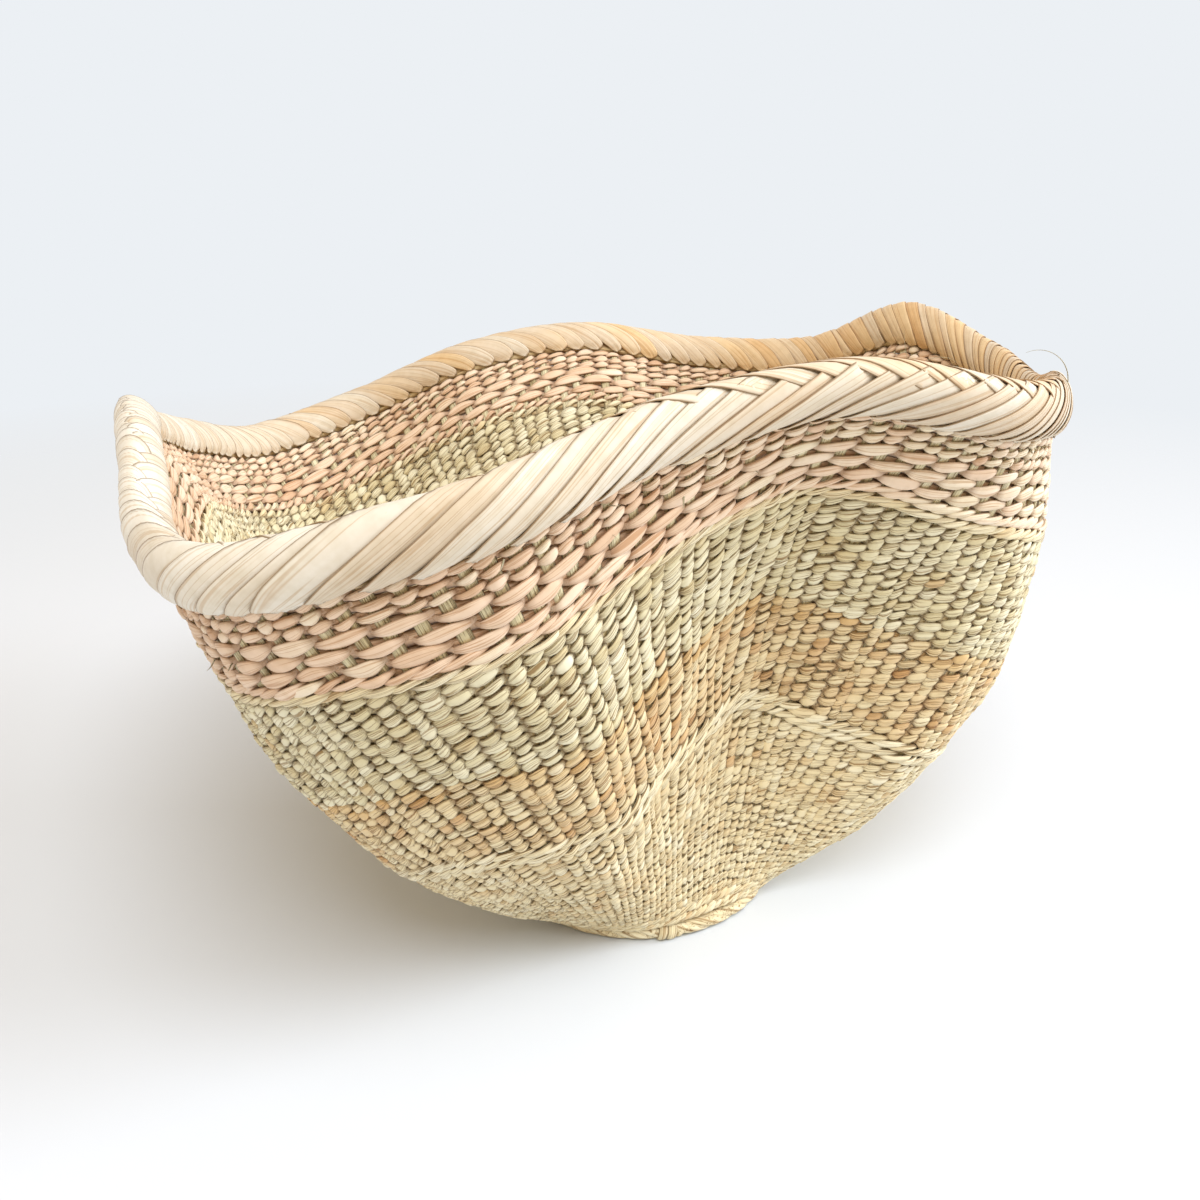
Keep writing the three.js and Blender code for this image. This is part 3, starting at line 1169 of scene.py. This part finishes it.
def foot_knot():
    """End of the rope, wound round it at the front where the rope closes."""
    part = np.linspace(0, 1, KNOT_WRAPS * 20)[None, :]
    angle = KNOT_ANGLE + (part - 0.5) * KNOT_LENGTH / FOOT_RADIUS
    wrap = TURN * KNOT_WRAPS * part
    bulge = np.sin(math.pi * part)
    outward, along = ring_ways(angle)
    reach = FOOT_RADIUS + FOOT_ROPE_RADIUS * (0.75 + 0.45 * bulge) * np.cos(wrap)
    centres = outward * reach[..., None] + FOOT_MIDDLE
    centres[..., 2] = np.clip(FOOT_ROPE_RADIUS * (1 + 0.95 * np.sin(wrap)), KNOT_LOWEST, None)
    half_width = KNOT_HALF_WIDTH + KNOT_SWELL * bulge
    return sweep(centres, along, half_width, KNOT_HALF_THICKNESS, 8, closed=False), 0.3, 1.0


dress(leaf_piece("foot_knot", [foot_knot()], closed=False), natural_leaf, "natural_leaf")

BASE_RADIUS = FOOT_RADIUS - FOOT_ROPE_REACH
BASE_ROW = 0.0037
BASE_STAKE_PITCH = 0.0042
BASE_WEAVE_THICKNESS = BASE_THICKNESS - 0.0022


def base_frame(turn, radius):
    """The woven base as a surface: rows go round, stakes go outwards, and its outside faces down."""
    outward, along = ring_ways(FOOT_START_ANGLE + turn * TURN)
    place = outward * np.asarray(radius)[..., None] + FOOT_MIDDLE + np.array([0, 0, BASE_THICKNESS / 2])
    down = np.zeros_like(outward) + np.array([0, 0, -1])
    return place, along, outward, down


def base_weave():
    """Rows of the base, from its edge inwards, each over as many stakes as there is room for."""
    look = row_look(BASE_ROW, BASE_WEAVE_THICKNESS, 6, waver=0.00005)
    groups = []
    radius = BASE_RADIUS - BASE_ROW / 2
    while radius > BASE_ROW * 1.5:
        stakes_here = 2 * round(TURN * radius / BASE_STAKE_PITCH / 2)
        groups.append(twined_rows([radius], PLAIN, look, base_frame, stakes_here))
        radius -= BASE_ROW
    return groups


dress(leaf_piece("base_weave", base_weave(), closed=True), natural_leaf, "natural_leaf", "base")

# Two bundles of stakes in the middle of the base
CROSS_REACH = BASE_RADIUS * 0.96
CROSS_LANES = (-1.5, -0.5, 0.5, 1.5)
CROSS_PITCH = 0.0024
CROSS_HALF_WIDTH = 0.0011
CROSS_HALF_THICKNESS = 0.00045
CROSS_STEP = 0.0005


def base_cross():
    """Bundles of stakes that cross in the middle of the base, one a step above the other."""
    reach = np.linspace(-CROSS_REACH, CROSS_REACH, 24)
    layers = (
        (np.array([1.0, 0, 0]), BASE_THICKNESS / 2 - CROSS_STEP),
        (np.array([0, 1.0, 0]), BASE_THICKNESS / 2 + CROSS_STEP),
    )
    groups = []
    for way, height in layers:
        side = np.array([way[1], way[0], 0.0])
        middle = FOOT_MIDDLE + np.array([0, 0, height])
        for lane in CROSS_LANES:
            centres = (way * reach[:, None] + side * lane * CROSS_PITCH + middle)[None]
            widths = side + 0 * centres
            rings = sweep(centres, widths, CROSS_HALF_WIDTH, CROSS_HALF_THICKNESS, 6, closed=False)
            groups.append((rings, 0.45 + 0.08 * lane, 1.0))
    return groups


dress(leaf_piece("base_stakes", base_cross(), closed=False), stake_leaf, "natural_leaf")


# Loose ends of leaf

FIBRE_STEPS = 18

# Loose fibres that the photo shows: where each leaves the basket, the way it heads in plan, how
# steeply it starts and ends, in degrees, and its size
FIBRE_READINGS = ("turn", "share", "out", "heading", "from", "to", "length", "width")
LOOSE_FIBRES = (
    (0.292, 0.985, 0.0045, 0, 78, 200, 0.0235, 0.00062),
    (0.217, 0.995, -0.0040, 0, 32, -38, 0.0100, 0.00030),
    (0.212, 0.995, -0.0040, 0, 108, 96, 0.0090, 0.00024),
    (0.251, 0.434, 0.0021, -60, -50, -110, 0.0055, 0.00036),
)

# Short frayed ends: how many there are, the share of them inside, where they root, and their sizes
FRAYED_ENDS = 90
FRAYED_INSIDE = 0.3
FRAYED_ROOT = 0.0015
FRAYED_LENGTHS = (0.0022, 0.0048)
FRAYED_WIDTHS = (0.0002, 0.0008)


def bent_fibres(root, heading, steep_from, steep_to, length, width):
    """Thin tapering fibres that bend evenly from one steepness to another."""
    part = np.linspace(0, 1, FIBRE_STEPS)[None, :]
    steep = steep_from + (steep_to - steep_from) * part
    way = np.stack([
        np.cos(heading) * np.cos(steep),
        np.sin(heading) * np.cos(steep),
        np.sin(steep),
    ], axis=-1)
    strides = way * (length / (FIBRE_STEPS - 1))[..., None]
    centres = root + np.cumsum(strides, axis=1) - strides[:, :1]
    side = np.stack([-np.sin(heading), np.cos(heading), 0 * heading], axis=-1) + 0 * centres
    half_width = width / 2 * (1 - 0.8 * part**2)
    return sweep(centres, side, half_width, half_width * 0.5, 6, closed=False)


def loose_fibres():
    """The fibres that the photo shows."""
    read = dict(zip(FIBRE_READINGS, np.array(LOOSE_FIBRES).T[:, :, None]))
    root = wall_place(read["turn"], read["share"] * WALL_RISE, read["out"])
    angles = (np.radians(read[name]) for name in ("heading", "from", "to"))
    return bent_fibres(root, *angles, read["length"], read["width"]), 0.55, 1.0


def frayed_ends():
    """Short ends that stand out from under the rim and between the pink rows."""
    shape = (FRAYED_ENDS, 1)
    turn = chance.random(shape)
    rise = chance.uniform(SPANS["twill_row_1"][0], SPANS["rim"][0], shape)
    inside = chance.random(shape) < FRAYED_INSIDE
    middle, along, up, out = wall_frame(turn, rise)
    outward = np.where(inside[..., None], -out, out)
    lean = along * chance.normal(0, 1.0, shape)[..., None]
    heading = np.arctan2((outward + lean)[..., 1], (outward + lean)[..., 0])
    steep = chance.uniform(-1.3, 0.5, shape)
    bend = chance.normal(0, 0.6, shape)
    length = chance.uniform(*FRAYED_LENGTHS, shape)
    width = chance.uniform(*FRAYED_WIDTHS, shape)
    root = middle + outward * FRAYED_ROOT
    tone = chance.uniform(0.1, 0.6, shape)
    return bent_fibres(root, heading, steep, steep + bend, length, width), tone, 1.0


ends = leaf_piece("loose_ends", [loose_fibres(), frayed_ends()], closed=False)
dress(ends, stake_leaf, "natural_leaf")


# Floor and background

BACKGROUND = leaf_colour(236, 240, 244)
FLOOR_COLOUR = (0.712, 0.763, 0.828, 1)
FLOOR_RADIUS = 3.0
FLOOR_DROP = 0.0002

# The floor fades into the background between these distances from its middle
FLOOR_FADE = (0.39, 1.08)

# Warm light from all round, which fills the shade
SKY_COLOUR = (1.0, 0.82, 0.62, 1)
SKY_STRENGTH = 0.73


def fading_floor_material():
    material = bpy.data.materials.new("pale floor")
    nodes = Nodes(material)
    place = nodes.add("ShaderNodeTexCoord").outputs["Object"]
    reach = nodes.add("ShaderNodeVectorMath", operation="LENGTH")
    nodes.join(place, reach.inputs[0])
    near, far = (distance / FLOOR_RADIUS for distance in FLOOR_FADE)
    fade = nodes.ramp(
        nodes.maths("DIVIDE", reach.outputs["Value"], FLOOR_RADIUS),
        ((near, BLACK), (far, WHITE)),
    )
    paint = nodes.add("ShaderNodeBsdfDiffuse")
    paint.inputs["Color"].default_value = FLOOR_COLOUR
    clear = nodes.add("ShaderNodeBsdfTransparent")
    blend = nodes.add("ShaderNodeMixShader")
    nodes.join(fade, blend.inputs["Fac"])
    nodes.join(paint.outputs[0], blend.inputs[1])
    nodes.join(clear.outputs[0], blend.inputs[2])
    output = nodes.add("ShaderNodeOutputMaterial")
    nodes.join(blend.outputs[0], output.inputs["Surface"])
    return material


def studio_world():
    """Warm light on the basket, and a pale background for the camera and for reflections."""
    world = bpy.data.worlds.new("studio")
    nodes = Nodes(world)
    sky = nodes.add("ShaderNodeBackground")
    sky.inputs["Color"].default_value = SKY_COLOUR
    sky.inputs["Strength"].default_value = SKY_STRENGTH
    backdrop = nodes.add("ShaderNodeBackground")
    backdrop.inputs["Color"].default_value = BACKGROUND
    backdrop.inputs["Strength"].default_value = 1.0
    rays = nodes.add("ShaderNodeLightPath").outputs
    mirrored = nodes.maths("MAXIMUM", rays["Is Glossy Ray"], rays["Is Transmission Ray"])
    seen = nodes.add("ShaderNodeMixShader")
    nodes.join(nodes.maths("MAXIMUM", rays["Is Camera Ray"], mirrored), seen.inputs["Fac"])
    nodes.join(sky.outputs[0], seen.inputs[1])
    nodes.join(backdrop.outputs[0], seen.inputs[2])
    output = nodes.add("ShaderNodeOutputWorld")
    nodes.join(seen.outputs[0], output.inputs["Surface"])
    return world


bpy.ops.mesh.primitive_circle_add(
    vertices=96,
    radius=FLOOR_RADIUS,
    fill_type="NGON",
    location=(0, 0, -FLOOR_DROP),
)
floor = bpy.context.active_object
floor.name = "floor"
bpy.ops.object.transform_apply(location=True)
floor.data.materials.append(fading_floor_material())
bpy.context.scene.world = studio_world()


# Lamps and camera

LAMP_TARGET = (0, 0, 0.12)


def lamp(name, place, size, power, colour):
    """A soft round lamp that faces the middle of the basket."""
    light = bpy.data.lights.new(name, "AREA")
    light.shape = "DISK"
    light.size = size
    light.energy = power
    light.color = colour
    holder = bpy.data.objects.new(name, light)
    holder.location = place
    facing = Vector(LAMP_TARGET) - Vector(place)
    holder.rotation_euler = facing.to_track_quat("-Z", "Y").to_euler()
    bpy.context.collection.objects.link(holder)


lamp("window light", (3.5, 0.25, 1.42), size=1.9, power=112, colour=(0.94, 1.0, 1.09))
lamp("top light", (0.15, -1.05, 1.8), size=1.2, power=26, colour=(0.95, 1.0, 1.07))

# The camera stands 300 mm up in front of the foot and looks down. Its focal length is a share of
# the width of its picture.
CAMERA_PLACE = (0.0107, -0.4624, 0.300)
CAMERA_PITCH = 21.8
CAMERA_FOCUS_SHARE = 1201 / 1200
SENSOR_WIDTH = 36
camera_data = bpy.data.cameras.new("camera")
camera_data.sensor_width = SENSOR_WIDTH
camera_data.lens = SENSOR_WIDTH * CAMERA_FOCUS_SHARE
camera_data.clip_start = 0.01
camera = bpy.data.objects.new("camera", camera_data)
camera.location = CAMERA_PLACE
camera.rotation_euler = (math.radians(90 - CAMERA_PITCH), 0, 0)
bpy.context.collection.objects.link(camera)
bpy.context.scene.camera = camera
bpy.context.scene.view_settings.view_transform = "Standard"
